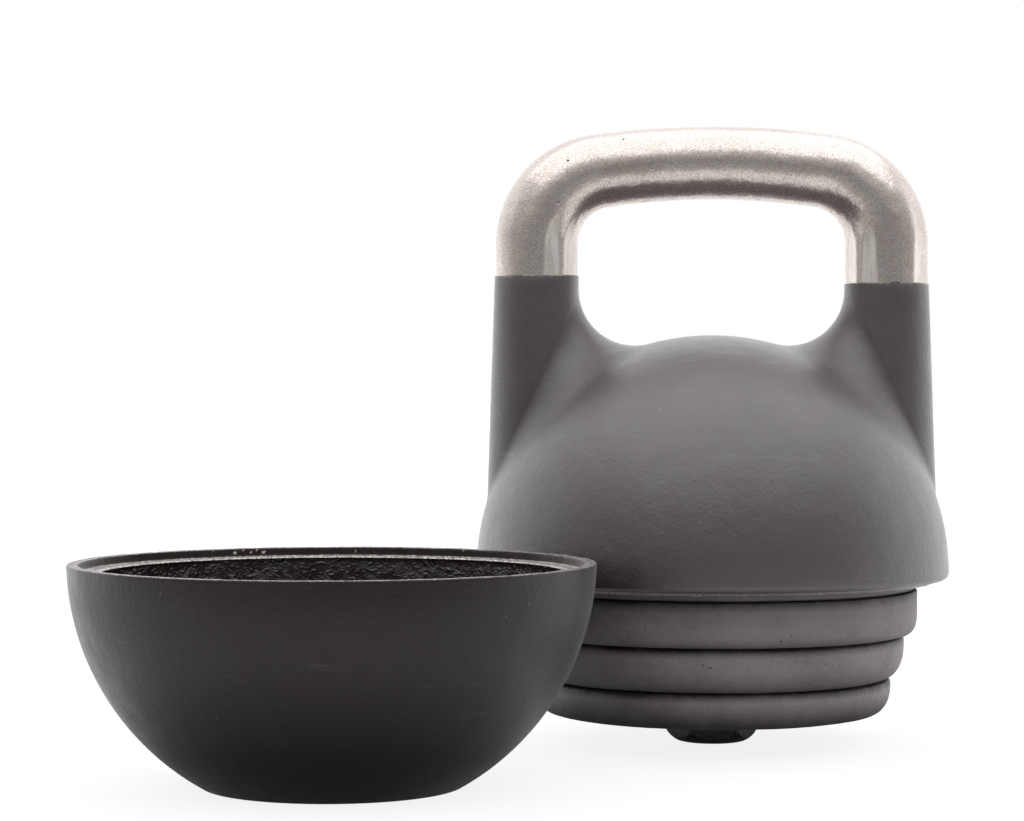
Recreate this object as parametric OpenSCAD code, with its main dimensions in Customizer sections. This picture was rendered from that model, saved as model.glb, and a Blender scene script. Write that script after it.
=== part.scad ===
// Adjustable competition kettlebell, standing on its lock nut with the lower shell taken off.
// Origin: centre of the nut's underside, on the ground. X along the grip, Y to the back, Z up.

/* [Shells] */
// Outer radius of the round body
body_r = 105; // [100:0.5:110]
// Wall of both shells where their cavities run straight
joint_wall = 12.7; // [12:0.1:14]
// Wall of the dome
dome_wall = 9; // [8:0.5:10]
// Wall of the lower shell, below its straight part
bowl_wall = 6.5; // [6:0.25:7]
// How far the joint line between the shells lies below the body's centre
joint_drop = 2.5; // [0:0.25:4]
// Height of the lower shell, from its foot to the joint line
bowl_h = 89; // [87:0.5:91]
// Thickness of the lower shell's floor
floor_t = 12; // [11:0.5:12.5]
// Rounding between the lower shell's wall and its foot
foot_round = 4; // [2:0.5:6]
// Width of the lower shell's rim face
rim_w = 4.8; // [4:0.1:6]
// Height of the ring under the dome that centres the lower shell
spigot_h = 4.2; // [3:0.2:5]
// Radial clearance of that ring in the rim
spigot_gap = 0.4; // [0.2:0.05:0.8]
// Rounding of the dome's lower edge
edge_round = 2; // [1:0.25:3]
// Radius of the boss that holds the post
boss_r = 22; // [20:0.5:26]

/* [Handle] */
// Distance from the middle to each leg's centre line
leg_x = 78.05; // [77:0.05:79]
// Height of the grip's top above the body's centre
grip_top = 198; // [194:0.5:202]
// Thickness of the grip in its middle, up and down
grip_h = 32.6; // [30:0.2:34]
// Depth of the grip, front to back
grip_w = 33; // [31:0.5:35]
// Radius of the grip's gentle arch
arch_r = 350; // [320:10:400]
// Radius of the grip's corners, along its centre line
corner_r = 33; // [30:0.5:35]
// Width of a leg at the paint line
leg_w = 36.7; // [34:0.1:38]
// Height of the left leg's paint line above the body's centre
paint_left = 131.4; // [128:0.2:136]
// Height of the right leg's paint line above the body's centre
paint_right = 128; // [127:0.2:134]
// Thickness of the paint
paint_t = 0.4; // [0.2:0.05:0.6]
// Fillet between the horns and the dome
horn_fillet = 25; // [22:0.5:27]
// How much the horns widen towards their foot
horn_flare = 3.2; // [2:0.2:4]

/* [Weight plates] */
// Clearance of the widest plates in the cavities
plate_side_gap = 1; // [0.8:0.1:3]
// How much narrower each of the lowest plates is than the one above
plate_step = 5.85; // [4:0.05:6.5]
// How high the stack reaches into the dome, as a share of the dome's inner radius
stack_reach = 0.748; // [0.72:0.004:0.76]
// Thickness of the bottom plate
bottom_plate_t = 16; // [15:0.5:18]
// Rounding of the plates' outer edge
plate_round = 8; // [5:0.5:9]
// Clearance of the upper plates inside the dome
plate_gap = 1; // [0.6:0.1:2]
// Depth that the stack hangs below the body's centre, as a share of the body's radius
stack_drop_share = 0.6; // [0.59:0.005:0.63]
// Radial clearance of the plates on the post
bore_gap = 0.4; // [0.3:0.05:0.8]

/* [Post and nut] */
// Diameter of the threaded post
post_d = 24; // [22:0.5:26]
// Pitch of its thread
thread_pitch = 3; // [2:0.25:3.5]
// Radial clearance of the threads
thread_gap = 0.04; // [0.02:0.01:0.08]
// Depth of the post in its boss
post_seat = 18; // [14:0.5:19]
// Distance from the nut's underside to the post's end
post_recess = 1.5; // [0.5:0.25:3]
// Width of the nut across its flats
nut_af = 36; // [34:0.5:38]
// Height of the nut
nut_h = 12; // [10:0.5:14]
// Thickness of the washer under the stack
washer_t = 1; // [0.8:0.1:2]
// Radius of that washer
washer_r = 19.5; // [18:0.5:22]

/* [Base screw] */
// Diameter of the screw
screw_d = 10; // [8:0.5:12]
// Length of the screw below its head
screw_len = 30; // [25:1:34]
// Diameter of its head
head_d = 17.5; // [16:0.5:19]
// Height of its head
head_h = 5.5; // [4.5:0.25:5.75]
// Width of the hexagon socket
socket_af = 6; // [4:0.5:8]
// Depth of that socket
socket_depth = 3; // [2:0.25:3.5]
// Depth of the recess in the foot
recess_depth = 8; // [7.75:0.25:8.5]
// Radial clearance of the head in its recess
recess_gap = 1.25; // [0.75:0.25:2]
// Radial clearance of the screw in the floor
hole_gap = 0.5; // [0.3:0.05:0.8]
// Thickness of the washer under the head
screw_washer_t = 1.6; // [1:0.1:2]
// Thickness of the ring that keeps the screw in the floor
keeper_t = 1; // [0.8:0.1:1.2]
// Radius of that ring
keeper_r = 9; // [7.5:0.5:10]

/* [Layout] */
// Space left between the two shells, as the lower one is set down
bowl_gap = 4; // [2:0.5:60]
// Direction in which it is set down, from the left towards the front
bowl_turn = 41.5; // [0:0.5:90]

/* [Hidden] */
$fn = 96;

plate_count = 7;
first_stepped = 6; // the plates from this one down step inwards
upper_plates = 4; // the plates down to this one are rounded on top, to follow the dome
ring_points = 32;
fillet_rings = 8;
fillet_share = 0.9; // a horn dives into the dome before its fillet runs out
leg_extra = 0.7; // how much deeper a leg is than the grip, each side
thread_share = 0.61; // depth of a metric thread, as a share of its pitch
nut_face_share = 0.95; // the round face of the nut against its flats
nut_corner_turn = 30; // slope of the nut's turned corners
eps = 0.01;
iron = [0.23, 0.22, 0.24];
steel = [0.72, 0.69, 0.66];
dark_steel = [0.2, 0.2, 0.21];

dome_inner_r = body_r - dome_wall;
stack_z = nut_h + washer_t;
centre_z = stack_z + stack_drop_share * body_r;
plate_room = centre_z + stack_reach * dome_inner_r - stack_z - bottom_plate_t;
plate_t = floor(10 * plate_room / (plate_count - 1)) / 10; // plates are cast to the tenth
stack_top = stack_z + bottom_plate_t + (plate_count - 1) * plate_t;
cavity_r = body_r - joint_wall;
plate_r = cavity_r - plate_side_gap;
bowl_x = -(2 * body_r + bowl_gap) * cos(bowl_turn);
bowl_y = -(2 * body_r + bowl_gap) * sin(bowl_turn);
bowl_inner_r = body_r - bowl_wall;
rabbet_r = body_r - rim_w;
rabbet_h = spigot_h + spigot_gap;
foot_level = -joint_drop - bowl_h;
spigot_r = rabbet_r - spigot_gap;
post_r = post_d / 2;
thread_depth = thread_share * thread_pitch;
plate_bore_r = post_r + bore_gap;
screw_r = screw_d / 2;
screw_z = recess_depth - screw_washer_t; // underside of the washer, above the foot

// ---- outlines, turned round the body's axis, with its centre at height 0 ----

module half_disc(r) {
    intersection() {
        circle(r, $fn = 180);
        translate([0, -r]) square([r, 2 * r]);
    }
}

// a cavity: straight near the joint line, round farther in
module cavity_outline(inner_r) {
    intersection() {
        half_disc(inner_r);
        translate([0, -inner_r]) square([cavity_r, 2 * inner_r]);
    }
}

module dome_outline() {
    round_z = edge_round - joint_drop;
    round_x = sqrt(pow(body_r - edge_round, 2) - pow(round_z, 2));
    difference() {
        union() {
            intersection() {
                half_disc(body_r);
                translate([0, round_z]) square([body_r, body_r - round_z]);
            }
            translate([0, -joint_drop]) square([round_x, edge_round]);
            translate([round_x, round_z]) circle(edge_round, $fn = 48);
            translate([0, -joint_drop - spigot_h]) square([spigot_r, spigot_h]);
        }
        cavity_outline(dome_inner_r);
        translate([-body_r, -body_r]) square([body_r, 2 * body_r]);
    }
}

module bowl_outline() {
    round_z = foot_level + foot_round;
    round_x = sqrt(pow(body_r - foot_round, 2) - pow(round_z, 2));
    grow = body_r / (body_r - foot_round);
    difference() {
        union() {
            difference() {
                half_disc(body_r);
                translate([0, -joint_drop]) square([body_r, 2 * body_r]);
                translate([0, foot_level - body_r]) square([body_r, body_r]);
                polygon([
                    [round_x, foot_level],
                    [round_x * grow, round_z * grow],
                    [body_r, round_z * grow],
                    [body_r, foot_level]
                ]);
            }
            translate([round_x, round_z]) circle(foot_round, $fn = 48);
        }
        difference() {
            cavity_outline(bowl_inner_r);
            translate([0, foot_level - body_r]) square([body_r, body_r + floor_t]);
        }
        translate([0, -joint_drop - rabbet_h]) square([rabbet_r, 2 * rabbet_h]);
        translate([-body_r, -body_r]) square([body_r, 2 * body_r]);
    }
}

// ---- skins built from rings of points ----

module skin(rings) {
    n = len(rings[0]);
    m = len(rings);
    sides = [
        for (k = [0 : m - 2], i = [0 : n - 1])
            [k * n + i, k * n + (i + 1) % n, (k + 1) * n + (i + 1) % n, (k + 1) * n + i]
    ];
    ends = [[for (i = [n - 1 : -1 : 0]) i], [for (i = [0 : n - 1]) (m - 1) * n + i]];
    polyhedron([for (ring = rings) each ring], concat(sides, ends), convexity = 6);
}

function ellipse_r(a, b, t) = a * b / sqrt(pow(b * cos(t), 2) + pow(a * sin(t), 2));

// ---- horns: legs that run down into the dome with a rolling fillet ----

horn_a = leg_w / 2 + paint_t;
horn_b = grip_w / 2 + leg_extra + paint_t;
foot_x = leg_x + horn_flare / 2;

function foot_reach(t) = ellipse_r(horn_a + horn_flare / 2, horn_b + horn_flare, t);
function dome_mid(t) = -foot_x * cos(t);
function dome_slice(t) = sqrt(pow(body_r, 2) - pow(foot_x * sin(t), 2));
function fillet_x(t) = foot_reach(t) + horn_fillet;
function fillet_z(t) =
    sqrt(pow(dome_slice(t) + horn_fillet, 2) - pow(fillet_x(t) - dome_mid(t), 2));
function fillet_turn(t) = atan2(fillet_z(t), fillet_x(t) - dome_mid(t));
function around(t, r, z) = [foot_x + r * cos(t), r * sin(t), centre_z + z];
function fillet_point(t, share) = around(
    t,
    fillet_x(t) - horn_fillet * cos(share * fillet_turn(t)),
    fillet_z(t) - horn_fillet * sin(share * fillet_turn(t))
);

module horn(paint_z) {
    turns = [for (i = [0 : ring_points - 1]) i * 360 / ring_points];
    leg = [
        for (t = turns)
            [leg_x + horn_a * cos(t), horn_b * sin(t), centre_z + paint_z]
    ];
    fillet = [
        for (k = [0 : fillet_rings])
            [for (t = turns) fillet_point(t, fillet_share * k / fillet_rings)]
    ];
    root = [for (t = turns) around(t, foot_reach(t) / 2, horn_fillet)];
    skin(concat([leg], fillet, [root]));
}

// ---- grip: an arched bar with round corners, swept along its centre line ----

grip_mid = centre_z + grip_top - grip_h / 2;
arch_mid = grip_mid - arch_r;
corner_turn = acos((leg_x - corner_r) / (arch_r - corner_r));
corner_mid = arch_mid + (arch_r - corner_r) * sin(corner_turn);

function grip_thick(t) = grip_h / 2 + (leg_w - grip_h) / 2 * abs(cos(t));
function grip_deep(t) = grip_w / 2 + leg_extra * abs(cos(t));
function grip_ring(x, z, t) = [
    for (i = [0 : ring_points - 1])
        let (s = i * 360 / ring_points)
        [
            x + grip_thick(t) * cos(s) * cos(t),
            grip_deep(t) * sin(s),
            z + grip_thick(t) * cos(s) * sin(t)
        ]
];
function corner_ring(t) =
    grip_ring(leg_x - corner_r + corner_r * cos(t), corner_mid + corner_r * sin(t), t);
function arch_ring(t) = grip_ring(arch_r * cos(t), arch_mid + arch_r * sin(t), t);
function left_corner_ring(t) =
    grip_ring(-leg_x + corner_r - corner_r * cos(t), corner_mid + corner_r * sin(t), 180 - t);

module handle() {
    steps = 12;
    corner = [for (k = [0 : steps]) corner_ring(corner_turn * k / steps)];
    arch = [for (k = [1 : steps - 1]) arch_ring(corner_turn + (180 - 2 * corner_turn) * k / steps)];
    right_end = grip_ring(leg_x, centre_z + paint_right, 0);
    left_end = grip_ring(-leg_x, centre_z + paint_left, 180);
    far_corner = [for (k = [steps : -1 : 0]) left_corner_ring(corner_turn * k / steps)];
    color(steel) skin(concat([right_end], corner, arch, far_corner, [left_end]));
}

module upper_shell() {
    color(iron) difference() {
        union() {
            translate([0, 0, centre_z]) rotate_extrude() dome_outline();
            difference() {
                union() {
                    horn(paint_right);
                    mirror([1, 0, 0]) horn(paint_left);
                }
                translate([0, 0, centre_z]) sphere(dome_inner_r + dome_wall / 2);
            }
            translate([0, 0, stack_top]) cylinder(r = boss_r, h = boss_height());
        }
        translate([0, 0, stack_top - eps]) cylinder(r = post_r + thread_gap, h = post_seat + 1);
    }
}

function boss_height() = centre_z + dome_inner_r + dome_wall / 2 - stack_top;

// ---- post, washer and nut ----

module center_post() {
    length = stack_top + post_seat - post_recess;
    color(dark_steel) translate([0, 0, post_recess]) difference() {
        union() {
            cylinder(r1 = post_r - thread_depth, r2 = post_r, h = thread_depth);
            translate([0, 0, thread_depth]) cylinder(r = post_r, h = length - 2 * thread_depth);
            translate([0, 0, length - thread_depth])
                cylinder(r1 = post_r, r2 = post_r - thread_depth, h = thread_depth);
        }
        translate([0, 0, -eps]) cylinder(r = screw_r, h = screw_len);
    }
}

module washer(outer_r, inner_r, t) {
    difference() {
        cylinder(r = outer_r, h = t);
        translate([0, 0, -eps]) cylinder(r = inner_r, h = t + 2 * eps);
    }
}

module clamp_washer() {
    color(steel) translate([0, 0, nut_h]) washer(washer_r, plate_bore_r, washer_t);
}

// a hexagon nut whose corners are turned off to a cone at both ends
module lock_nut() {
    corner = nut_af / sqrt(3);
    face_r = nut_af / 2 * nut_face_share;
    chamfer = (corner - face_r) * tan(nut_corner_turn);
    color(dark_steel) difference() {
        intersection() {
            cylinder(r = corner, h = nut_h, $fn = 6);
            union() {
                cylinder(r1 = face_r, r2 = corner, h = chamfer);
                translate([0, 0, chamfer]) cylinder(r = corner, h = nut_h - 2 * chamfer);
                translate([0, 0, nut_h - chamfer]) cylinder(r1 = corner, r2 = face_r, h = chamfer);
            }
        }
        translate([0, 0, -eps]) cylinder(r = post_r + thread_gap, h = nut_h + 2 * eps);
    }
}

// ---- weight plates, the first one at the top ----

function plate_thick(i) = i == plate_count ? bottom_plate_t : plate_t;
function plate_z(i) =
    stack_z + (i == plate_count ? 0 : bottom_plate_t + (plate_count - 1 - i) * plate_t);
function dome_fit(i) = let (top = plate_z(i) + plate_t - centre_z)
    i > upper_plates ? plate_r : sqrt(pow(dome_inner_r, 2) - pow(max(0, top), 2)) - plate_gap;
function plate_radius(i) =
    min(plate_r, dome_fit(i)) - plate_step * max(0, i - first_stepped + 1);

// outline with its rounded edge at the bottom
module plate_outline(r, t) {
    difference() {
        union() {
            square([r - plate_round, t]);
            translate([0, plate_round]) square([r, t - plate_round]);
            translate([r - plate_round, plate_round]) circle(plate_round, $fn = 48);
        }
        translate([0, -eps]) square([plate_bore_r, t + 2 * eps]);
    }
}

module plate(i) {
    t = plate_thick(i);
    flip = i <= upper_plates ? 1 : 0;
    color(iron) translate([0, 0, plate_z(i) + flip * t]) mirror([0, 0, flip])
        rotate_extrude() plate_outline(plate_radius(i), t);
}

// ---- lower shell, with its screw held in the floor ----

module lower_shell() {
    color(iron) translate([bowl_x, bowl_y, 0]) difference() {
        translate([0, 0, -foot_level]) rotate_extrude() bowl_outline();
        translate([0, 0, -eps]) cylinder(r = screw_r + hole_gap, h = floor_t + 2 * eps);
        translate([0, 0, -eps]) cylinder(r = head_d / 2 + recess_gap, h = recess_depth + eps);
    }
}

module base_screw() {
    color(dark_steel) translate([bowl_x, bowl_y, screw_z - head_h]) difference() {
        union() {
            cylinder(r = head_d / 2, h = head_h);
            cylinder(r = screw_r, h = head_h + screw_len);
        }
        translate([0, 0, -eps])
            cylinder(r = socket_af / sqrt(3), h = socket_depth + eps, $fn = 6);
    }
}

module base_screw_washer() {
    color(steel) translate([bowl_x, bowl_y, screw_z])
        washer(head_d / 2, screw_r + thread_gap, screw_washer_t);
}

module base_screw_keeper() {
    color("white") translate([bowl_x, bowl_y, floor_t])
        washer(keeper_r, screw_r + thread_gap, keeper_t);
}

upper_shell();
handle();
center_post();
plate(1);  // plate_1
plate(2);  // plate_2
plate(3);  // plate_3
plate(4);  // plate_4
plate(5);  // plate_5
plate(6);  // plate_6
plate(7);  // plate_7
clamp_washer();
lock_nut();
lower_shell();
base_screw();
base_screw_washer();
base_screw_keeper();
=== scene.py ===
import math
import random
import bpy
import numpy as np
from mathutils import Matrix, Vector, noise


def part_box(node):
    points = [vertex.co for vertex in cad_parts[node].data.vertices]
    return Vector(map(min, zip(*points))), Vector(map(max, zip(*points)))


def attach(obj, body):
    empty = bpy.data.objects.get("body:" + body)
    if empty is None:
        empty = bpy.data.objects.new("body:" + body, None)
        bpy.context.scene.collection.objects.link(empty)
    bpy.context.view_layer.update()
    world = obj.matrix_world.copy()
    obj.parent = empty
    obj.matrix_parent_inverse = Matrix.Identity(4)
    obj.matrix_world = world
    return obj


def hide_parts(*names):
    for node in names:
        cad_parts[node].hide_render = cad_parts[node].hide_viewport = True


# An adjustable kettlebell, opened: the upper half stands on its lock nut, and the
# lower shell is set down beside it.

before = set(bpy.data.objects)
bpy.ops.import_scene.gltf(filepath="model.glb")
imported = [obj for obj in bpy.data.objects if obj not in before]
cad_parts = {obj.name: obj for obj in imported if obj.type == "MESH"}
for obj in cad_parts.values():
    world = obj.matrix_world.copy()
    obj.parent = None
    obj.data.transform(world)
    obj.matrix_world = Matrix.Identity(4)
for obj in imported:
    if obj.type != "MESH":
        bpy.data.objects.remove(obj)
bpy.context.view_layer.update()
random.seed(7)


def newMaterial(name):
    material = bpy.data.materials.new(name)
    material.use_nodes = True
    return material, material.node_tree, material.node_tree.nodes["Principled BSDF"]


def addNode(tree, kind, inputs=None, **settings):
    node = tree.nodes.new(kind)
    for key, value in settings.items():
        setattr(node, key, value)
    for key, value in (inputs or {}).items():
        if isinstance(value, bpy.types.NodeSocket):
            tree.links.new(value, node.inputs[key])
        else:
            node.inputs[key].default_value = value
    return node


def objectSpace(tree, stretch=(1, 1, 1)):
    place = addNode(tree, "ShaderNodeTexCoord")
    mapping = addNode(tree, "ShaderNodeMapping", {"Vector": place.outputs["Object"], "Scale": stretch})
    return mapping.outputs["Vector"]


def cloud(tree, size, detail=3, grain=0.55, stretch=(1, 1, 1)):
    # soft noise whose blotches are about `size` metres across
    return addNode(tree, "ShaderNodeTexNoise", {
        "Vector": objectSpace(tree, stretch), "Scale": 1 / size, "Detail": detail, "Roughness": grain,
    }).outputs["Fac"]


def cells(tree, size):
    # distance to the nearest of many scattered points, for pits and specks
    return addNode(tree, "ShaderNodeTexVoronoi", {
        "Vector": objectSpace(tree), "Scale": 1 / size,
    }).outputs["Distance"]


def spread(tree, value, low, high, toLow=0.0, toHigh=1.0, curve="LINEAR"):
    return addNode(tree, "ShaderNodeMapRange", {
        "Value": value, "From Min": low, "From Max": high, "To Min": toLow, "To Max": toHigh,
    }, interpolation_type=curve).outputs["Result"]


def blend(tree, share, first, second):
    return addNode(tree, "ShaderNodeMix", {0: share, 2: first, 3: second}, data_type="FLOAT").outputs[0]


def mark(tree, label):
    return addNode(tree, "ShaderNodeAttribute", attribute_name=label).outputs["Fac"]


def sums(tree, operation, a, b):
    return addNode(tree, "ShaderNodeMath", {0: a, 1: b}, operation=operation).outputs[0]


def tint(tree, share, first, second):
    node = addNode(tree, "ShaderNodeMix", data_type="RGBA")
    for socket, value in ((node.inputs[0], share), (node.inputs[6], first), (node.inputs[7], second)):
        if isinstance(value, bpy.types.NodeSocket):
            tree.links.new(value, socket)
        else:
            socket.default_value = value if isinstance(value, float) else (*value, 1)
    return node.outputs[2]


def relief(tree, height, depth, under=None):
    # bump of `depth` metres where the height runs from 0 to 1
    node = addNode(tree, "ShaderNodeBump", {"Height": height, "Distance": depth, "Strength": 1.0})
    if under:
        tree.links.new(under, node.inputs["Normal"])
    return node.outputs["Normal"]


def wearMask(tree, low, high, size=0.0025):
    # where the mesh's `wear` mark and a cloud together pass a level
    ragged = sums(tree, "MULTIPLY", mark(tree, "wear"), sums(tree, "ADD", cloud(tree, size, 5, 0.65), 0.5))
    return spread(tree, ragged, low, high)


def meshPiece(name, points, faces, material, body, node, marks, sharpAbove=32):
    mesh = bpy.data.meshes.new(name)
    mesh.from_pydata([tuple(p) for p in points], [], [tuple(int(i) for i in f) for f in faces])
    mesh.update()
    for label, values in marks.items():
        mesh.attributes.new(label, "FLOAT", "POINT").data.foreach_set("value", np.array(values, np.float32))
    mesh.materials.append(material)
    mesh.shade_smooth()
    mesh.set_sharp_from_angle(angle=math.radians(sharpAbove))
    piece = bpy.data.objects.new(name, mesh)
    bpy.context.scene.collection.objects.link(piece)
    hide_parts(node)
    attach(piece, body)
    return piece


def polar(r, angle, z):
    # the point at that radius and angle round Z
    return (r * math.cos(angle), r * math.sin(angle), z)


def alongArc(start, end, sweep, share):
    # a point between two spokes of equal length that stand `sweep` apart
    return (math.sin((1 - share) * sweep) * start + math.sin(share * sweep) * end) / math.sin(sweep)


def rounded(corners, arcSteps, step):
    # a closed outline of (radius, height, rounding, wear) corners, counterclockwise,
    # with arcs at the corners and its straight runs cut into short steps
    outline = []
    count = len(corners)
    for k, (r, z, rounding, wear) in enumerate(corners):
        p = np.array([r, z])
        before = np.array(corners[k - 1][:2]) - p
        after = np.array(corners[(k + 1) % count][:2]) - p
        before /= np.linalg.norm(before)
        after /= np.linalg.norm(after)
        half = math.acos(np.clip(before @ after, -1, 1)) / 2
        middle = p + (before + after) / np.linalg.norm(before + after) * rounding / math.sin(half)
        start = p + before * rounding / math.tan(half) - middle
        end = p + after * rounding / math.tan(half) - middle
        sweep = math.pi - 2 * half
        for i in range(arcSteps + 1):
            at = middle + alongArc(start, end, sweep, i / arcSteps)
            outline.append([at[0], at[1], wear, 0])
    filled = []
    for k, here in enumerate(outline):
        there = outline[(k + 1) % len(outline)]
        cuts = max(1, int(math.hypot(there[0] - here[0], there[1] - here[1]) / step))
        flatWear = 0 if cuts > 1 else here[2]
        filled.append(here)
        for i in range(1, cuts):
            r, z = (p + (q - p) * (i / cuts) for p, q in zip(here[:2], there[:2]))
            filled.append([r, z, flatWear, 0])
    return filled


def gridFaces(columns, rows, closed=False):
    # quads of a grid whose columns join up all round, and its rows too when closed
    i = np.arange(columns)[:, None]
    j = np.arange(rows if closed else rows - 1)[None, :]
    ahead, above = (i + 1) % columns, (j + 1) % rows
    quads = np.stack([i * rows + j, ahead * rows + j, ahead * rows + above, i * rows + above], axis=2)
    return quads.reshape(-1, 4)


def lathe(outline, angles, closed=True):
    # turns (radius, height, wear, rough) rows round Z; gives points, quads and the marks
    rows = np.array(outline)
    turn = np.array(angles)[:, None]
    points = np.stack([rows[:, 0] * np.cos(turn), rows[:, 0] * np.sin(turn), rows[:, 1] + 0 * turn], axis=2)
    quads = gridFaces(len(angles), len(rows), closed)
    return points.reshape(-1, 3), quads, np.tile(rows[:, 2], len(angles)), np.tile(rows[:, 3], len(angles))


def fullTurn(steps):
    return np.linspace(0, 2 * math.pi, steps, endpoint=False)


def skinOf(piece):
    # the vertices' places and normals, as two arrays
    mesh = piece.data
    points, normals = np.empty(len(mesh.vertices) * 3), np.empty(len(mesh.vertices) * 3)
    mesh.vertices.foreach_get("co", points)
    mesh.vertex_normals.foreach_get("vector", normals)
    return points.reshape(-1, 3), normals.reshape(-1, 3)


def roughen(piece, layers, seed=0.0):
    # sinks the skin by noise of (depth, size), scaled by the `rough` mark where there is one
    mesh = piece.data
    points, normals = skinOf(piece)
    amount = np.ones(len(points))
    if "rough" in mesh.attributes:
        mesh.attributes["rough"].data.foreach_get("value", amount)
    for i in np.nonzero(amount > 0)[0]:
        at = Vector(points[i]) + Vector((seed, seed, seed))
        sink = sum(depth * (0.5 + 0.5 * noise.noise(at / size)) for depth, size in layers)
        points[i] -= normals[i] * (sink * amount[i])
    mesh.vertices.foreach_set("co", points.ravel())
    mesh.update()


def dent(piece, spots):
    # knocks of (place, radius, depth) into the skin
    points, normals = skinOf(piece)
    for place, radius, depth in spots:
        near = np.sqrt(((points - np.array(place)) ** 2).sum(axis=1)) / radius
        hit = near < 1
        points[hit] -= normals[hit] * (depth * (1 - near[hit] ** 2) ** 2)[:, None]
    piece.data.vertices.foreach_set("co", points.ravel())
    piece.data.update()


paintLook = {
    # darkest and lightest colour, specular level, roughness, and the clear skin over it
    "upper": ((0.0190, 0.0080, 0.0108), (0.0330, 0.0176, 0.0218), 0.85, 0.43, 1.0),
    # the lower shell has the same paint made darker: painted shade
    "lower": ((0.0125, 0.0058, 0.0070), (0.0205, 0.0118, 0.0136), 0.32, 0.36, 0.15),
    "scuff": (0.14, 0.127, 0.130),
    "ironDark": (0.13, 0.105, 0.105),
    "ironLight": (0.78, 0.70, 0.67),
    "sheen": 0.26,
}


def makePaint(name, dark, light, specular, roughness, skin):
    material, tree, shader = newMaterial(name)
    broad = spread(tree, cloud(tree, 0.07, 3), 0.3, 0.7)
    mottle = cloud(tree, 0.009, 5, 0.6)
    colour = tint(tree, broad, dark, light)
    colour = tint(tree, spread(tree, mottle, 0.35, 0.75, 0.0, 0.4), colour, light)
    # faint rubbed streaks, and small nicks here and there
    streaks = spread(tree, cloud(tree, 0.02, 6, 0.7, (0.35, 0.35, 3.0)), 0.62, 0.74, 0.0, 0.45)
    colour = tint(tree, streaks, colour, paintLook["scuff"])
    nicks = spread(tree, cells(tree, 0.013), 0.045, 0.025, 0.0, 0.8)
    colour = tint(tree, nicks, colour, paintLook["scuff"])
    worn = wearMask(tree, 0.52, 0.78, 0.0022)
    crumbs = cloud(tree, 0.0011, 4, 0.65)
    iron = tint(tree, spread(tree, crumbs, 0.40, 0.62), paintLook["ironDark"], paintLook["ironLight"])
    colour = tint(tree, worn, colour, iron)
    tree.links.new(colour, shader.inputs["Base Color"])
    gloss = spread(tree, mottle, 0.3, 0.7, roughness - 0.06, roughness + 0.07)
    tree.links.new(gloss, shader.inputs["Roughness"])
    normal = relief(tree, cloud(tree, 0.024, 3), 0.0006)
    normal = relief(tree, cloud(tree, 0.0016, 4, 0.6), 0.00017, normal)
    normal = relief(tree, sums(tree, "MULTIPLY", worn, crumbs), 0.00025, normal)
    tree.links.new(normal, shader.inputs["Normal"])
    shader.inputs["Specular IOR Level"].default_value = specular
    shader.inputs["Sheen Weight"].default_value = paintLook["sheen"]
    shader.inputs["Sheen Roughness"].default_value = 0.35
    shader.inputs["Coat Weight"].default_value = skin
    shader.inputs["Coat Roughness"].default_value = 0.44
    tree.links.new(normal, shader.inputs["Coat Normal"])
    return material


gripLook = {
    "bright": (0.86, 0.800, 0.755),
    "dull": (0.41, 0.345, 0.312),
    "ground": (0.96, 0.91, 0.85),
    "pit": (0.06, 0.05, 0.05),
    "roughness": 0.27,
}


def makeGripSteel():
    # blasted bare steel, its grain as fine as sand, with flats ground bright by the paint
    material, tree, shader = newMaterial("blastedSteel")
    shader.inputs["Metallic"].default_value = 1.0
    grain = cloud(tree, 0.0007, 5, 0.8)
    broad = spread(tree, cloud(tree, 0.022, 4), 0.35, 0.7)
    colour = tint(tree, spread(tree, grain, 0.36, 0.62), gripLook["dull"], gripLook["bright"])
    colour = tint(tree, sums(tree, "MULTIPLY", broad, 0.3), colour, gripLook["dull"])
    lines = spread(tree, cloud(tree, 0.003, 4, 0.6, (1.0, 1.0, 0.12)), 0.35, 0.65, 0.35, 1.0)
    ground = sums(tree, "MULTIPLY", mark(tree, "ground"), lines)
    colour = tint(tree, ground, colour, gripLook["ground"])
    pits = spread(tree, cells(tree, 0.011), 0.05, 0.03)
    colour = tint(tree, pits, colour, gripLook["pit"])
    tree.links.new(colour, shader.inputs["Base Color"])
    gloss = spread(tree, grain, 0.3, 0.7, gripLook["roughness"] + 0.08, gripLook["roughness"] - 0.06)
    tree.links.new(sums(tree, "ADD", gloss, sums(tree, "MULTIPLY", ground, 0.16)), shader.inputs["Roughness"])
    normal = relief(tree, cloud(tree, 0.012, 3), 0.0004)
    normal = relief(tree, grain, 0.00003, normal)
    normal = relief(tree, lines, 0.00006, normal)
    normal = relief(tree, spread(tree, cells(tree, 0.011), 0.025, 0.06), 0.0003, normal)
    tree.links.new(normal, shader.inputs["Normal"])
    return material


castLook = {
    "plateDark": (0.225, 0.196, 0.226),
    "plateLight": (0.400, 0.358, 0.386),
    "plateChip": (0.42, 0.39, 0.395),
    "plateRoughness": 0.5,
    "pitSize": 0.008,
    "pitDepth": 0.0003,
    # painted shade where the plates meet
    "grime": (0.022, 0.018, 0.020),
    "insideDark": (0.013, 0.0062, 0.0074),
    "insideLight": (0.024, 0.0145, 0.0165),
    # lighter ridges of the crinkles: worn iron and painted glints
    "insideRidgeWearAndGlint": (0.11, 0.095, 0.098),
}


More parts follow.
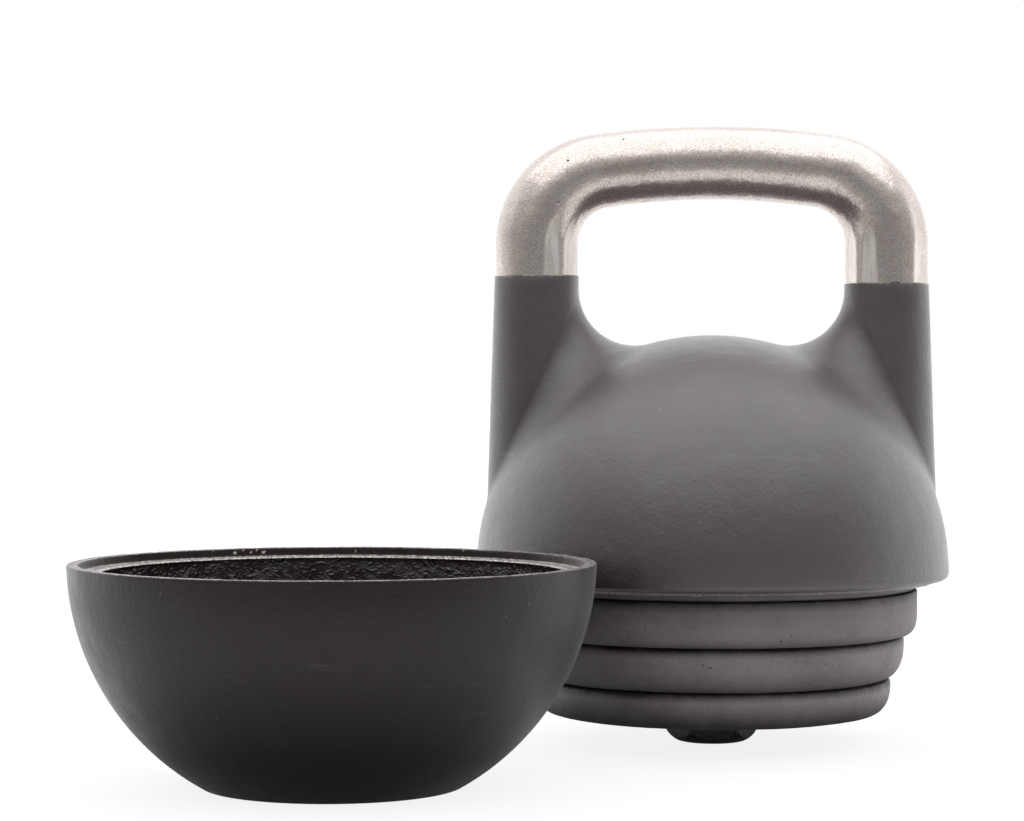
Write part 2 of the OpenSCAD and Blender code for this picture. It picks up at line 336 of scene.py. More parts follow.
def makePlateIron():
    # sand-cast iron under a thin paint, with pits
    material, tree, shader = newMaterial("plateIron")
    dark, light, chip = castLook["plateDark"], castLook["plateLight"], castLook["plateChip"]
    roughness, pitDepth = castLook["plateRoughness"], castLook["pitDepth"]
    broad = spread(tree, cloud(tree, 0.035, 4), 0.3, 0.7)
    colour = tint(tree, broad, dark, light)
    grain = cloud(tree, 0.003, 6, 0.65)
    colour = tint(tree, spread(tree, grain, 0.35, 0.7, 0.0, 0.6), colour, light)
    chips = spread(tree, cells(tree, 0.014), 0.07, 0.045, 0.0, 0.7)
    colour = tint(tree, chips, colour, chip)
    worn = wearMask(tree, 0.58, 0.75, 0.003)
    colour = tint(tree, worn, colour, chip)
    # painted shade: darker along each plate's top edge under the plate above, and round the underside of the
    # lowest plate
    grime = mark(tree, "grime")
    patches = spread(tree, cloud(tree, 0.012, 4, 0.6), 0.3, 0.7, 0.75, 1.15)
    patchyShade = sums(tree, "MULTIPLY", grime, patches)
    colour = tint(tree, spread(tree, patchyShade, 0.03, 1.0, 0.0, 0.97), colour, castLook["grime"])
    pits = spread(tree, cells(tree, castLook["pitSize"]), 0.03, 0.075)
    colour = tint(tree, pits, tuple(c * 0.45 for c in dark), colour)
    tree.links.new(colour, shader.inputs["Base Color"])
    gloss = spread(tree, grain, 0.3, 0.7, roughness - 0.08, roughness + 0.1)
    tree.links.new(gloss, shader.inputs["Roughness"])
    normal = relief(tree, cloud(tree, 0.014, 4, 0.6), pitDepth * 2)
    normal = relief(tree, pits, pitDepth, normal)
    normal = relief(tree, grain, pitDepth * 1.1, normal)
    tree.links.new(normal, shader.inputs["Normal"])
    return material


def makeCrinkled():
    # the raw casting inside the lower shell: dark, glossy and finely crinkled
    material, tree, shader = newMaterial("castInside")
    ridges = addNode(tree, "ShaderNodeTexNoise", {
        "Vector": objectSpace(tree, (1.0, 1.0, 1.4)), "Scale": 430.0, "Detail": 3.0,
        "Roughness": 0.65, "Distortion": 0.5,
    }, noise_type="RIDGED_MULTIFRACTAL", normalize=True).outputs["Fac"]
    grain = cloud(tree, 0.012, 4, 0.6)
    colour = tint(tree, spread(tree, grain, 0.3, 0.7), castLook["insideDark"], castLook["insideLight"])
    # the crinkles' ridges are lighter: worn iron and painted glints
    colour = tint(tree, spread(tree, ridges, 0.66, 0.86, 0.0, 0.8), colour, castLook["insideRidgeWearAndGlint"])
    tree.links.new(colour, shader.inputs["Base Color"])
    tree.links.new(spread(tree, grain, 0.3, 0.7, 0.2, 0.34), shader.inputs["Roughness"])
    normal = relief(tree, cloud(tree, 0.009, 3, 0.6), 0.0015)
    normal = relief(tree, ridges, 0.0007, normal)
    tree.links.new(normal, shader.inputs["Normal"])
    shader.inputs["Specular IOR Level"].default_value = 0.9
    return material


def makeSteel(name, colour, roughness, metal=1.0):
    material, tree, shader = newMaterial(name)
    shader.inputs["Metallic"].default_value = metal
    grain = cloud(tree, 0.002, 4, 0.6)
    darker = tuple(c * 0.6 for c in colour)
    shade = tint(tree, spread(tree, grain, 0.35, 0.65), darker, colour)
    shade = tint(tree, wearMask(tree, 0.55, 0.8), shade, (0.55, 0.53, 0.51))
    tree.links.new(shade, shader.inputs["Base Color"])
    gloss = spread(tree, grain, 0.3, 0.7, roughness - 0.08, roughness + 0.08)
    tree.links.new(gloss, shader.inputs["Roughness"])
    tree.links.new(relief(tree, grain, 0.00006), shader.inputs["Normal"])
    return material


upperPaint = makePaint("upperPaint", *paintLook["upper"])
# the same paint, darker: painted shade on the lower shell
lowerPaintShaded = makePaint("lowerPaintShaded", *paintLook["lower"])
gripSteel = makeGripSteel()
plateIron = makePlateIron()
castInside = makeCrinkled()
postSteel = makeSteel("postSteel", (0.42, 0.41, 0.40), 0.35)
blackSteel = makeSteel("blackSteel", (0.085, 0.076, 0.079), 0.42)
zincSteel = makeSteel("zincSteel", (0.60, 0.60, 0.58), 0.3)
nylon = makeSteel("nylon", (0.75, 0.74, 0.70), 0.5, 0.0)
print("finishes made")


shellLow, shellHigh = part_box("upper_shell")
bodyRadius = min(shellHigh.x, shellHigh.y)

shell = {
    "jointDrop": 0.0025,      # joint line below the body's centre
    "spigotHeight": 0.0042,
    "spigotIn": 0.0052,       # from the body's radius to the spigot's
    "spigotWorn": 0.0026,     # how far its lower edge is worn back, in and up
    "spigotWornUp": 0.0012,
    "edgeDown": 0.0031,       # lower edge of the paint under the body's centre
    "wall": 0.009,
    "jointWall": 0.0127,      # where the cavity runs straight
    "edgeIn": 0.004,          # the lower edge is a quarter of an ellipse
    "bossRadius": 0.022,
    "bossUnder": 0.0718,      # underside of the boss above the centre
    "holeRadius": 0.01204,
    "holeDepth": 0.019,
    "hornX": 0.07805,
    "hornHalfWidth": 0.01875,
    "hornHalfDepth": 0.0176,
    "flare": 0.0032,
    "fillet": 0.025,
    "paintRight": 0.128,      # paint lines above the centre
    "paintLeft": 0.1314,
    "lip": 0.00035,
    "ragged": 0.00045,        # how far the paint lines wander
    "notch": 0.0009,          # paint that runs up the right leg at its front
    "turnsOut": 130,          # columns of a half along the skirt, and along the other half
    "turnsIn": 73,
}
centreZ = shellLow.z + shell["spigotHeight"] + shell["jointDrop"]
hornFoot = shell["hornX"] + shell["flare"] / 2
cornerTurn = math.pi - math.atan2(bodyRadius, hornFoot)


def ellipse(a, b, turn):
    return a * b / math.sqrt((b * math.cos(turn)) ** 2 + (a * math.sin(turn)) ** 2)


def hornColumn(turn, paintZ):
    # one line of points down the horn, round the fillet and over the dome to the border of its half
    c, s = math.cos(turn), math.sin(turn)
    a, b = shell["hornHalfWidth"], shell["hornHalfDepth"]
    reach = ellipse(a + shell["flare"] / 2, b + shell["flare"], turn)
    nearest = -hornFoot * c
    sliceRadius = math.sqrt(bodyRadius ** 2 - (hornFoot * s) ** 2)
    ball = shell["fillet"]
    out = reach + ball
    z = math.sqrt((sliceRadius + ball) ** 2 - (out - nearest) ** 2)
    arc = math.atan2(z, out - nearest)

    def at(r, height):
        return [hornFoot + r * c, r * s, height]

    lip = shell["lip"]
    inner = [shell["hornX"] + (a - 0.0016) * c, (b - 0.0016) * s, paintZ]
    edge = [shell["hornX"] + (a - lip) * c, (b - lip) * s, paintZ]
    soft = [shell["hornX"] + (a - lip * 0.3) * c, (b - lip * 0.3) * s, paintZ - lip * 0.3]
    legEnd = at(reach, z)
    column = [inner, edge, soft]
    legTop = [shell["hornX"] + a * c, b * s, paintZ - lip]
    for i in range(14):
        share = i / 14
        column.append([p + (q - p) * share for p, q in zip(legTop, legEnd)])
    for i in range(23):
        angle = arc * i / 22
        column.append(at(out - ball * math.cos(angle), z - ball * math.sin(angle)))
    onDome = np.array(column[-1])
    if turn > cornerTurn:
        border = np.array(at(hornFoot / -c, 0))
        border[0] = 0
        border[2] = math.sqrt(bodyRadius ** 2 - border[1] ** 2)
    else:
        border = np.array(at(nearest + sliceRadius, 0))
    between = math.acos(np.clip(onDome @ border / bodyRadius ** 2, -1, 1))
    for i in range(1, 41):
        column.append(list(alongArc(onDome, border, between, i / 40)))
    return column


def wander(grid, side):
    # how much higher or lower the paint line runs at each point's place round the leg
    x, y = grid[:, :, 0] - side * shell["hornX"], grid[:, :, 1]
    turn = np.arctan2(y, x)
    rise = sum(np.sin(turn * k + k * k + side) / k for k in (2, 3, 5, 8, 13, 21))
    notch = np.exp(-((x - 0.0015) / 0.0022) ** 4) * (y < 0) * (side > 0)
    return shell["ragged"] * rise / 2 + shell["notch"] * notch


def hornHalf(side, paintZ):
    turnsOut, turnsIn = shell["turnsOut"], shell["turnsIn"]
    front = [cornerTurn * i / turnsOut for i in range(turnsOut)]
    # closer together at first, where the half's border climbs steeply
    front += [cornerTurn + (math.pi - cornerTurn) * (i / turnsIn) ** 1.8 for i in range(turnsIn + 1)]
    rows = np.array([hornColumn(t, paintZ) for t in front])
    back = rows[-2:0:-1] * np.array([1, -1, 1])
    grid = np.concatenate([rows, back])
    grid[:, :, 0] *= side
    n, m = grid.shape[:2]
    quads = gridFaces(n, m)
    if side > 0:
        quads = quads[:, ::-1]
    grid[:, :, 2] += wander(grid, side) * np.clip(1 - (paintZ - grid[:, :, 2]) / 0.006, 0, 1)
    wear = np.zeros((n, m))
    wear[:, 1:4] = 0.6
    rim = rows[:turnsOut + 1, -1, :]
    return grid.reshape(-1, 3), quads, wear.ravel(), np.arctan2(rim[:, 1], rim[:, 0])


def skirtOutline():
    # outside edge, joint face, spigot, cavity and boss, from the equator down and in
    spigotR = bodyRadius - shell["spigotIn"]
    spigotZ = -shell["jointDrop"] - shell["spigotHeight"]
    cavityR, innerR = bodyRadius - shell["jointWall"], bodyRadius - shell["wall"]
    edgeIn, edgeZ = shell["edgeIn"], -shell["edgeDown"]
    edge = [[bodyRadius, 0, 0, 0]]
    for i in range(1, 9):
        a = math.pi / 2 * i / 8
        worn = 0.2 if i < 7 else 0.7
        rough = 0.4 if i > 5 else 0
        edge.append([bodyRadius - edgeIn + edgeIn * math.cos(a), edgeZ * math.sin(a), worn, rough])
    back = shell["spigotWorn"]
    under = [[spigotR + 0.0003, edgeZ - 0.0001, 0.95, 0.6]]
    for i in range(9):
        a = math.pi / 2 * i / 8
        down = 0.0005 + shell["spigotWornUp"] * math.sin(a)
        under.append([spigotR - back + back * math.cos(a) - 0.0002 * i, edgeZ - down, 0.95, 1])
    low = under[-1]
    under += [[low[0] - 0.001, low[1] - 0.0001, 0.72, 0.6], [cavityR + 0.0009, low[1] - 0.0002, 0.5, 0.5],
              [cavityR, spigotZ + 0.0024, 0.4, 0.5]]
    turnZ = math.sqrt(innerR ** 2 - cavityR ** 2)
    wallZ = under[-1][1]
    inside = [[cavityR, wallZ + (turnZ - wallZ) * i / 10, 0, 1] for i in range(1, 11)]
    bossZ = math.sqrt(innerR ** 2 - shell["bossRadius"] ** 2)
    startA, endA = math.asin(turnZ / innerR), math.asin(bossZ / innerR)
    for i in range(1, 25):
        a = startA + (endA - startA) * i / 24
        inside.append([innerR * math.cos(a), innerR * math.sin(a), 0, 1])
    bossR, holeR, bossLow = shell["bossRadius"], shell["holeRadius"], shell["bossUnder"]
    boss = [[bossR, bossLow + 0.001, 0.3, 0.3], [bossR - 0.001, bossLow, 0.6, 0],
            [holeR + 0.0008, bossLow, 0.6, 0], [holeR, bossLow + 0.0008, 0.3, 0],
            [holeR, bossLow + shell["holeDepth"], 0, 0]]
    return edge + under + inside + boss


def weld(points, quads):
    # joins points that share a place; gives the kept points' numbers and the faces between them
    keys = {}
    same = np.empty(len(points), int)
    kept = []
    for k, p in enumerate(np.round(points * 2e5).astype(int)):
        key = tuple(p)
        if key not in keys:
            keys[key] = len(kept)
            kept.append(k)
        same[k] = keys[key]
    faces = []
    for quad in same[quads]:
        loop = [v for n, v in enumerate(quad) if v != quad[n - 1]]
        if len(loop) > 2:
            faces.append(loop)
    return kept, faces


def makeUpperShell():
    right, rightQuads, rightWear, rim = hornHalf(1, shell["paintRight"])
    left, leftQuads, leftWear, _ = hornHalf(-1, shell["paintLeft"])
    angles = np.unique(np.round(np.concatenate([rim, -rim, math.pi - rim, rim - math.pi]), 9))
    angles = angles[angles > -math.pi + 1e-6]
    skirt, skirtQuads, skirtWear, skirtRough = lathe(skirtOutline()[::-1], angles, closed=False)
    points = np.concatenate([right, left, skirt])
    quads = np.concatenate([rightQuads, leftQuads + len(right), skirtQuads + len(right) + len(left)])
    wear = np.concatenate([rightWear, leftWear, skirtWear])
    rough = np.concatenate([np.zeros(len(right) + len(left)), skirtRough])
    points[:, 2] += centreZ
    kept, faces = weld(points, quads)
    piece = meshPiece("domeAndHorns", points[kept], faces, upperPaint, "bell", "upper_shell",
                      {"wear": wear[kept], "rough": rough[kept]})
    roughen(piece, [(0.0003, 0.006), (0.00018, 0.002)])


makeUpperShell()
print("upper shell made")


grip = {
    "thick": 0.0326,
    "deep": 0.033,
    "legWide": 0.0367,
    "legDeeper": 0.0007,
    "archRadius": 0.350,
    "cornerRadius": 0.033,
    "intoPaint": 0.0018,
    "around": 160,
    # flats ground on the legs: side, degrees from the front towards the window, half width, reach up the leg
    "flats": ((-1, 20, 13, 0.030), (-1, 50, 12, 0.034), (1, 30, 13, 0.028), (1, -42, 10, 0.032),
              (1, 62, 11, 0.030)),
    "seam": 0.00022,          # ragged parting line under the bar
}


def gripPath():
    # x, z and outward direction of the bar's middle, from the right paint line round to the left one
    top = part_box("handle")[1].z
    archMid = top - grip["thick"] / 2 - grip["archRadius"]
    legX, bend = shell["hornX"], grip["cornerRadius"]
    bendTurn = math.acos((legX - bend) / (grip["archRadius"] - bend))
    bendMid = archMid + (grip["archRadius"] - bend) * math.sin(bendTurn)

    def leg(paintZ, side, steps=24):
        low, high = centreZ + paintZ - grip["intoPaint"], bendMid
        turn = 0 if side > 0 else math.pi
        return [(side * legX, low + (high - low) * i / steps, turn) for i in range(steps)]

    right = leg(shell["paintRight"], 1)
    legSteps = len(right)
    for i in range(60):
        a = bendTurn * i / 59
        right.append((legX - bend + bend * math.cos(a), bendMid + bend * math.sin(a), a))
    arch = []
    for i in range(1, 110):
        a = bendTurn + (math.pi - 2 * bendTurn) * i / 110
        arch.append((grip["archRadius"] * math.cos(a), archMid + grip["archRadius"] * math.sin(a), a))
    left = [(-x, z, math.pi - a) for x, z, a in right[legSteps:]]
    left = left[::-1] + leg(shell["paintLeft"], -1)[::-1]
    return right + arch + left


def makeGrip():
    x, z, a = (np.array(v)[None, :] for v in zip(*gripPath()))
    # the section of each place along the bar: u points outwards, v to the back
    s = fullTurn(grip["around"])[:, None]
    half = grip["thick"] / 2 + (grip["legWide"] - grip["thick"]) / 2 * abs(np.cos(a))
    deep = grip["deep"] / 2 + grip["legDeeper"] * abs(np.cos(a))
    u, v = half * np.cos(s), deep * np.sin(s)
    ground = np.zeros(u.shape)
    for side, off, halfWidth, reach in grip["flats"]:
        way = -math.pi / 2 - math.radians(off)
        wayU, wayV = math.cos(way), math.sin(way)
        up = (z - centreZ - (shell["paintRight"] if side > 0 else shell["paintLeft"])) / reach
        fade = np.clip(1 - up, 0, 1) ** 0.5 * (x * side > 0)
        across = np.sqrt((half * wayU) ** 2 + (deep * wayV) ** 2)
        flat = across * (1 - (1 - math.cos(math.radians(halfWidth))) * fade)
        cut = np.clip(u * wayU + v * wayV - flat, 0, None) * (fade > 0)
        u, v = u - cut * wayU, v - cut * wayV
        ground = np.maximum(ground, np.clip(cut / 0.00012, 0, 1) * np.clip(fade * 1.6, 0, 1))
    under = np.clip(1 - abs(((s - math.pi * 1.06) / 0.09)), 0, 1)
    ragged = [noise.noise(Vector((float(p) * 260, float(q) * 260, 0))) for p, q in zip(x[0], z[0])]
    u = u - grip["seam"] * under * np.array(ragged)[None, :] * 2
    points = np.stack([x + u * np.cos(a), v + 0 * a, z + u * np.sin(a)], axis=2)
    faces = gridFaces(points.shape[0], points.shape[1])
    piece = meshPiece("gripBar", points.reshape(-1, 3), faces, gripSteel, "bell", "handle",
                      {"ground": ground.ravel()})
    roughen(piece, [(0.00022, 0.012), (0.00012, 0.004)], seed=5.0)


makeGrip()
print("grip made")


plates = {
    # the rounded side is a quarter of an ellipse, made fuller: how far in and up it goes,
    # the small rounding of the other edge, and its fullness, where 2 is a plain ellipse
    "shape": (0.0100, 0.0150, 0.0024, 2.15),
    "shapeOfFifth": (0.0056, 0.0095, 0.0009, 2.4),
    "shapeOfLast": (0.0098, 0.0132, 0.0020, 2.2),
    "paintedShadeDown": 0.0052,      # painted shade along the top edge, where the plate above shades it
    "paintedShadeIn": 0.012,         # how far in from the side it has faded, and over what width
    "paintedShadeFade": 0.010,
    "paintedShadeInner": 0.12,       # what is left of it further in
    "grimeUp": 0.0140,        # painted shade round the underside of the lowest plate
    "boreClear": 0.0004,      # between the post and the bore
    "boreEdge": 0.0006,
    "steps": 480,
    "knocks": 9,
}


def makePlate(number):
    node = f"plate_{number}"
    low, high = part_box(node)
    radius, thick = (high.x - low.x) / 2, high.z - low.z
    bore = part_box("center_post")[1].x + plates["boreClear"]
    flipped = number <= 4            # the upper plates are rounded on top
    shape = {5: "shapeOfFifth", 7: "shapeOfLast"}.get(number, "shape")
    inwards, upwards, soft, fullness = plates[shape]
    upwards = min(upwards, thick - soft - 0.0005)
    power = 2 / fullness
    side = []
    for i in range(25):
        a = math.pi / 2 * i / 24
        r = radius - inwards + inwards * math.sin(a) ** power
        z = upwards - upwards * max(math.cos(a), 0.0) ** power
        side.append([r, z, 0.45 if 0 < i < 6 else 0.3, 0.6])
    for i in range(1, 6):
        side.append([radius, upwards + (thick - soft - upwards) * i / 5, 0.3, 0.6])
    for i in range(1, 8):
        a = math.pi / 2 * i / 7
        side.append([radius - soft + soft * math.cos(a), thick - soft + soft * math.sin(a), 0.2, 0.6])
    if flipped:
        side = [[r, thick - z, worn, rough] for r, z, worn, rough in side[::-1]]
    lip = plates["boreEdge"]
    face = [[side[-1][0] + (bore + lip - side[-1][0]) * i / 30, thick, 0.1, 0.5] for i in range(1, 30)]
    hole = [[bore + lip, thick, 0.6, 0], [bore, thick - lip, 0.6, 0],
            [bore, lip, 0.6, 0], [bore + lip, 0, 0.6, 0]]
    back = [[bore + lip + (side[0][0] - bore - lip) * i / 30, 0, 0.1, 0.5] for i in range(1, 30)]
    outline = side + face + hole + back
    points, quads, wear, rough = lathe(outline, fullTurn(plates["steps"]))
    # painted shade along the top edge, where the plate above shades it, fading inwards
    grime = np.clip((points[:, 2] - thick + plates["paintedShadeDown"]) / plates["paintedShadeDown"] * 1.3, 0, 1) ** 1.7
    outwards = np.hypot(points[:, 0], points[:, 1]) - radius + plates["paintedShadeIn"]
    grime *= np.clip(outwards / plates["paintedShadeFade"], plates["paintedShadeInner"], 1)
    # painted shade round the underside of the lowest plate
    if number == 7:
        grime = np.maximum(grime, 0.8 * np.clip(1 - points[:, 2] / plates["grimeUp"], 0, 1))
    points[:, 2] += low.z
    piece = meshPiece(f"plate{number}", points, quads, plateIron, f"plate_{number}", node,
                      {"wear": wear, "rough": rough, "grime": grime})
    roughen(piece, [(0.00035, 0.02), (0.00015, 0.004)], seed=number * 3.1)
    spots = []
    for _ in range(plates["knocks"]):
        a = random.uniform(0, 2 * math.pi)
        z = random.choice([low.z + 0.0015, high.z - 0.0012, random.uniform(low.z, high.z)])
        size = random.uniform(0.002, 0.004)
        spots.append((polar(radius, a, z), size, random.uniform(0.0001, 0.0003)))
    dent(piece, spots)


for number in range(1, 8):
    makePlate(number)
print("plates made")


post = {
    "pitch": 0.003,
    "depth": 0.00183,
    # crest, flank and root of the thread, as shares of the pitch; a second flank closes it
    "crest": 1 / 8,
    "flank": 5 / 16,
    "root": 1 / 4,
    "stops": (0.0, 0.125, 0.28, 0.4375, 0.56, 0.6875, 0.85, 0.93),    # the rows of one pitch
    "around": 64,
    "screwHole": 0.005,
    "screwHoleDepth": 0.030,
}


def threadRadius(phase, outer):
    crest, flank, root = post["crest"], post["flank"], post["root"]
    if phase < crest:
        return outer
    if phase < crest + flank:
        return outer - post["depth"] * (phase - crest) / flank
    if phase < crest + flank + root:
        return outer - post["depth"]
    return outer - post["depth"] * (1 - phase) / flank


def threadGrid(low, high, outer, taper):
    # rows follow the helix, and are cut off square at both ends
    turns = int((high - low) / post["pitch"]) + 2
    points, n, perTurn = [], post["around"], len(post["stops"])
    rows = turns * perTurn
    for k in range(rows):
        phase = post["stops"][k % perTurn]
        for i in range(n + 1):
            z = low + post["pitch"] * (k // perTurn - 1 + phase + i / n)
            z = min(max(z, low), high)
            r = threadRadius(phase, outer)
            if taper:
                r = min(r, outer - post["depth"] + (z - low), outer - post["depth"] + (high - z))
            points.append(polar(r, 2 * math.pi * i / n, z))
    faces = []
    for k in range(rows - 1):
        for i in range(n):
            a = k * (n + 1) + i
            faces.append((a, a + 1, a + n + 2, a + n + 1))
    return points, faces


def makePost():
    low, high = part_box("center_post")
    outer = high.x - 0.00005
    points, faces = threadGrid(low.z, high.z, outer, True)
    start = len(points)
    hole, holeEnd = post["screwHole"], low.z + post["screwHoleDepth"]
    steps = post["around"]
    ends = [(outer - post["depth"] + 0.0001, low.z), (hole + 0.0006, low.z), (hole, low.z + 0.0006),
            (hole, holeEnd), (0.0004, holeEnd + 0.003)]
    for r, z in ends:
        points += [polar(r, 2 * math.pi * i / steps, z) for i in range(steps)]
    for k in range(len(ends) - 1):
        for i in range(steps):
            q = (i + 1) % steps
            a = start + k * steps
            faces.append((a + i, a + steps + i, a + steps + q, a + q))
    meshPiece("threadedPost", points, faces, postSteel, "bell", "center_post",
              {"wear": np.zeros(len(points))}, 25)


makePost()
print("post made")


nut = {
    "acrossFlats": 0.036,
    "faceShare": 0.95,
    "cornerTurn": 30,
    "cornerShare": 1.143,     # the corners are cut back to this share of the half width
    "around": 180,
    # the underside is worn round: share of the way out from the foot, and height
    "footRadius": 0.0135,
    "sole": ((0.0, 0.0), (0.22, 0.00035), (0.45, 0.0012), (0.66, 0.0024), (0.84, 0.0038),
             (0.95, 0.0051), (1.0, 0.0062)),
}


def makeNut():
    low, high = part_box("lock_nut")
    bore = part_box("center_post")[1].x + 0.00004
    half = nut["acrossFlats"] / 2
    face = half * nut["faceShare"]
    slope = math.tan(math.radians(nut["cornerTurn"]))
    widest = half * nut["cornerShare"]
    foot = nut["footRadius"]
    soleR = [foot + (widest - foot) * share for share, _ in nut["sole"]]
    soleZ = [z for _, z in nut["sole"]]
    columns, wearsAndGlints = [], []
    for i in range(nut["around"]):
        # corners point along X, and the flats face front and back
        a = 2 * math.pi * i / nut["around"]
        reach = min(half / math.cos(a % (math.pi / 3) - math.pi / 6), widest)
        cone = (reach - face) * slope
        rows = [(bore + 0.0002, low.z + 0.0012, 0), (bore + 0.0009, low.z + 0.0003, 0.2)]
        for share in (0, 0.15, 0.3, 0.45, 0.6, 0.75, 0.87, 0.95, 1.0):
            r = foot + (reach - foot) * share
            rows.append((r, low.z + np.interp(r, soleR, soleZ), 0.55 if share == 1.0 else 0.25))
        rows += [
            (reach, (low.z + high.z) / 2, 0), (reach, high.z - cone - 0.0002, 0.5),
            (reach - 0.0002, high.z - cone + 0.0001, 0.6), (face, high.z - 0.0001, 0.5),
            (face - 0.0003, high.z, 0.3), (bore + 0.0012, high.z - 0.0002, 0.2),
            (bore + 0.0002, high.z - 0.0012, 0),
        ]
        # light marks on the corners just below the top: worn edges and painted glints
        cornerWearAndGlint = max(0.0, abs((a % (math.pi / 3)) / (math.pi / 3) - 0.5) * 2 - 0.93) / 0.07
        columns.append([polar(r, a, z) for r, z, _ in rows])
        wearsAndGlints.append([max(w, 0.8 * cornerWearAndGlint if 8 < k < 11 else 0) for k, (_, _, w) in enumerate(rows)])
    grid = np.array(columns)
    points = list(grid.reshape(-1, 3))
    wear = list(np.array(wearsAndGlints).ravel())
    # the thread inside it
    innerPoints, innerFaces = threadGrid(low.z + 0.0004, high.z - 0.0004, bore + 0.0002, False)
    start = len(points)
    points += innerPoints
    wear += [0.0] * len(innerPoints)
    faces = [tuple(q) for q in gridFaces(*grid.shape[:2])]
    faces += [tuple(v + start for v in f[::-1]) for f in innerFaces]
    meshPiece("lockNut", points, faces, blackSteel, "lock_nut", "lock_nut", {"wear": wear}, 25)


makeNut()


washers = {
    "stackBore": 0.0124,      # hole's radius, round the post and round the base screw
    "screwBore": 0.00504,
    "stackEdge": 0.00025,     # how far the edges are rounded
    "screwEdge": 0.0003,
    "arcSteps": 3,
    "step": 0.002,
    "around": 120,
}


def makeWasher(name, node, body, material, inner, edge):
    low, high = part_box(node)
    centre = (low + high) / 2
    outer = (high.x - low.x) / 2
    thick = high.z - low.z
    corners = [(outer, 0, edge, 0.6), (outer, thick, edge, 0.6),
               (inner, thick, edge, 0.4), (inner, 0, edge, 0.4)]
    outline = rounded(corners, washers["arcSteps"], washers["step"])
    points, quads, wear, _ = lathe(outline, fullTurn(washers["around"]))
    points += np.array([centre.x, centre.y, low.z])
    meshPiece(name, points, quads, material, body, node, {"wear": wear})


makeWasher("stackWasher", "clamp_washer", "clamp_washer", zincSteel,
           washers["stackBore"], washers["stackEdge"])
makeWasher("screwWasher", "base_screw_washer", "lower_shell", zincSteel,
           washers["screwBore"], washers["screwEdge"])
makeWasher("screwKeeper", "base_screw_keeper", "base_screw", nylon,
           washers["screwBore"], washers["screwEdge"])
print("nut and washers made")


bowl = {
    "wall": 0.0065,
    "jointWall": 0.0127,
    "floor": 0.012,
    "footRound": 0.004,
    "rim": 0.0048,
    "rabbet": 0.0036,
    "recessRadius": 0.010,
    "recessDepth": 0.008,
    "hole": 0.0055,
    # on the rabbet's wall: degrees round it, and the row above or below its middle
    "chips": ((88, 0), (110.5, 0), (111, 0), (112.5, -1), (114, 0), (116, -1), (118, 0), (118.5, 0),
              (124, -1), (60, -1), (205, 0)),
    "nick": (139.5, 0.0019, 0.0012),    # on the rim: where round it, how wide and how deep
    "steps": 720,
}


def bowlOutline(outerR, height, rimR, ledgeZ):
    # from the foot out and up to the rim, then down inside to the floor and the screw's hole
    middle = height + shell["jointDrop"]      # the sphere's centre above the foot
    innerR, cavityR = outerR - bowl["wall"], outerR - bowl["jointWall"]
    footZ = bowl["footRound"]
    footX = math.sqrt((outerR - footZ) ** 2 - (middle - footZ) ** 2)
    footAngle = math.atan2(middle - footZ, footX)
    outline = []
    for i in range(9):
        a = -math.pi / 2 + (math.pi / 2 - footAngle) * i / 8
        worn = 0.45 if 0 < i < 7 else 0.2
        outline.append([footX + footZ * math.cos(a), footZ + footZ * math.sin(a), worn, 0])
    rimAngle = -math.asin(shell["jointDrop"] / outerR)
    for i in range(1, 60):
        a = -footAngle + (rimAngle + footAngle) * i / 60
        outline.append([outerR * math.cos(a), middle + outerR * math.sin(a), 0, 0])
    rabbetR = outerR - bowl["rim"]
    # rim, rabbet wall and ledge, worn bare where the upper shell rubs
    outline += [[rimR, height - 0.001, 0.1, 0], [rimR - 0.0001, height - 0.0004, 0.5, 0.1],
                [rimR - 0.0005, height, 0.62, 0.2], [rimR - 0.002, height, 0.55, 0.3],
                [rabbetR + 0.0018, height, 0.58, 0.3], [rabbetR + 0.0005, height, 0.64, 0.3],
                [rabbetR + 0.0001, height - 0.0004, 0.5, 0.3], [rabbetR, height - 0.0009, 0.15, 0.3],
                [rabbetR, (height + ledgeZ) / 2, 0.2, 0.3], [rabbetR, ledgeZ + 0.0005, 0.3, 0.3],
                [rabbetR - 0.0004, ledgeZ, 0.85, 0.1], [rabbetR - 0.001, ledgeZ, 0.85, 0.1],
                [rabbetR - 0.0022, ledgeZ, 0.66, 0.1], [cavityR + 0.0030, ledgeZ, 0.62, 0.1],
                [cavityR + 0.0014, ledgeZ, 0.78, 0.1],
                [cavityR + 0.0006, ledgeZ - 0.0001, 0.9, 0.1], [cavityR + 0.0001, ledgeZ - 0.0005, 0.7, 0.15],
                [cavityR, ledgeZ - 0.0009, 0.3, 0.8]]
    turnZ = middle - math.sqrt(innerR ** 2 - cavityR ** 2)
    startZ = ledgeZ - 0.0009
    for i in range(1, 22):
        outline.append([cavityR, startZ + (turnZ - startZ) * i / 21, 0, 1])
    floorA = math.asin((middle - bowl["floor"]) / innerR)
    turnA = math.asin((middle - turnZ) / innerR)
    for i in range(1, 40):
        a = turnA + (floorA - turnA) * i / 40
        outline.append([innerR * math.cos(a), middle - innerR * math.sin(a), 0, 1])
    floorR, floorZ = innerR * math.cos(floorA), bowl["floor"]
    hole, recess, recessZ = bowl["hole"], bowl["recessRadius"], bowl["recessDepth"]
    for i in range(25):
        outline.append([floorR + (hole + 0.002 - floorR) * i / 25, floorZ, 0, 1 if i < 20 else 0.3])
    outline += [[hole + 0.0005, floorZ, 0.5, 0], [hole, floorZ - 0.0005, 0.3, 0], [hole, recessZ, 0, 0],
                [recess, recessZ, 0, 0], [recess, 0.0006, 0.4, 0], [recess + 0.0006, 0, 0.6, 0]]
    return outline


